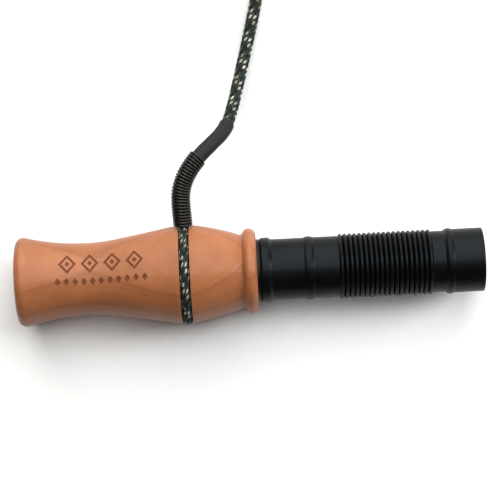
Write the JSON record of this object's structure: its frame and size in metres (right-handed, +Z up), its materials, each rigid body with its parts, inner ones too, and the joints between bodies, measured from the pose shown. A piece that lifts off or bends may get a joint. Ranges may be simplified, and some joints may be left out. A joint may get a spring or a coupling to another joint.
{
  "type": "deer grunt call",
  "caption": "Mouth-blown deer call: turned wooden barrel over a pull-out reed insert, pleated bendable rubber hose, braided neck lanyard in a groove.",
  "frame": {"origin": "on the bore's axis at the mouth end face", "axes": "+X along the bore from the mouth to the hose's outlet, +Z up as the call lies, +Y the side where the lanyard leaves the groove"},
  "size_m": [0.1674, 0.1932, 0.0366],
  "materials": {
    "turned_wood": "satin oiled hardwood, grain along the bore",
    "black_acetal": "turned black acetal",
    "seal_rubber": "matt black rubber",
    "board_plastic": "moulded black plastic",
    "reed_film": "frosted polyester film",
    "cork": "cut cork",
    "hose_rubber": "satin black moulded elastomer",
    "braided_cord": "dark green and black braid with pale flecks",
    "whipping_cord": "close-wound waxed black cord",
    "shrink_tube": "matt black shrink tube"
  },
  "bodies": {
    "lanyard": {"lanyard_loop": "braided_cord", "whipping": "whipping_cord", "shrink_sleeve": "shrink_tube", "lanyard_cord": "braided_cord", "lanyard_coil": "braided_cord", "end_knot": "braided_cord"},
    "barrel": {"barrel": "turned_wood"},
    "insert": {"insert_body": "black_acetal", "o_ring_front": "seal_rubber", "o_ring_rear": "seal_rubber", "tone_board": "board_plastic", "reed_wedge": "cork"},
    "reed": {"reed": "reed_film"},
    "tuning_ring": {"tuning_ring": "seal_rubber"},
    "hose": {"hose_cuff": "hose_rubber", "bellows_inner": "hose_rubber"},
    "hose_middle": {"middle_pleat": "hose_rubber", "bellows_outer": "hose_rubber"},
    "hose_end": {"hose_outlet": "hose_rubber"}
  },
  "joints": [
    {"name": "barrel_swivel", "type": "hinge", "parent": "lanyard", "child": "barrel", "pos_m": [0.0606, 0, 0], "axis": [1, 0, 0], "continuous": true},
    {"name": "insert_pull", "type": "slide", "parent": "barrel", "child": "insert", "axis": [1, 0, 0], "range_m": [0, 0.06]},
    {"name": "reed_flex", "type": "hinge", "parent": "insert", "child": "reed", "pos_m": [0.0572, 0, 0.00117], "axis": [0, -1, 0], "range_deg": [0, 1.8], "stiffness_Nm_per_rad": 0.0087},
    {"name": "tuning_ring_slide", "type": "slide", "parent": "insert", "child": "tuning_ring", "axis": [-1, 0, 0], "range_m": [0, 0.012]},
    {"name": "hose_pull", "type": "slide", "parent": "insert", "child": "hose", "axis": [1, 0, 0], "range_m": [0, 0.018]},
    {"name": "hose_stretch", "type": "slide", "parent": "hose", "child": "hose_middle", "axis": [1, 0, 0], "range_m": [0, 0.012], "stiffness_N_per_m": 150, "deforming": ["bellows_inner"]},
    {"name": "hose_bend", "type": "hinge", "parent": "hose_middle", "child": "hose_end", "pos_m": [0.141, 0, 0], "axis": [0, 0, 1], "range_deg": [-30, 30], "stiffness_Nm_per_rad": 0.15, "deforming": ["bellows_outer"]}
  ]
}
